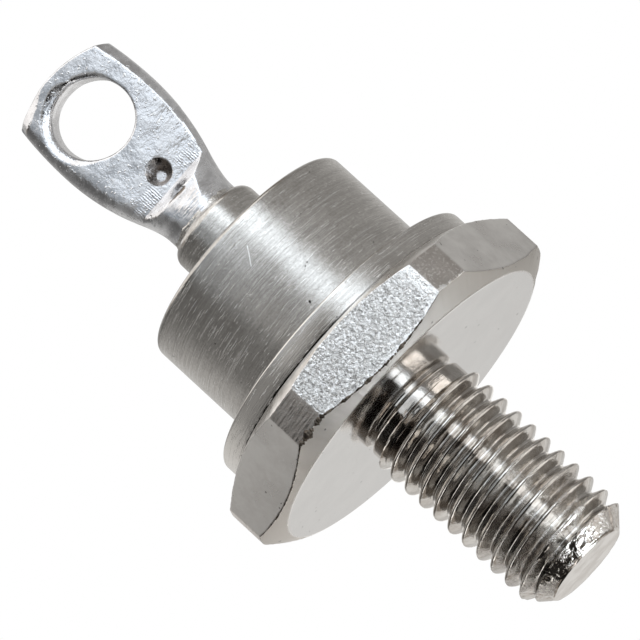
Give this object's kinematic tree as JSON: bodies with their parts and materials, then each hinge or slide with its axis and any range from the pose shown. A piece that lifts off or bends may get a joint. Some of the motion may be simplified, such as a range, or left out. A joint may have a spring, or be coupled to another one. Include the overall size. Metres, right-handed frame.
{
  "type": "stud diode",
  "caption": "Stud-mounted power rectifier diode: hexagon base with a threaded stud, flanged round can, glass-sealed collar and a flattened solder terminal with an eye.",
  "frame": {"origin": "centre of the seating face, where the stud leaves the hexagon base", "axes": "+Z along the axis from the stud to the terminal, X across the wide side of the terminal blade, -Y out of the blade's dimpled face"},
  "size_m": [0.0184, 0.0184, 0.0345],
  "materials": {
    "base_nickel": "bright nickel plate on copper, with machining scuffs",
    "can_nickel": "nickel plate over fine turning lines",
    "terminal_tin": "tinned, lightly dappled by pressing",
    "solder": "dull grainy solder",
    "silicon": "dark polished wafer",
    "lead_copper": "bare drawn copper",
    "seal_glass": "fused sealing glass, dark green grey"
  },
  "bodies": {
    "root": {"stud_base": "base_nickel", "lower_solder": "solder", "silicon_chip": "silicon", "upper_solder": "solder", "inner_lead": "lead_copper", "can_shell": "can_nickel", "glass_seal": "seal_glass", "seal_tube": "can_nickel", "terminal_lug": "terminal_tin", "terminal_solder": "solder"}
  },
  "joints": []
}
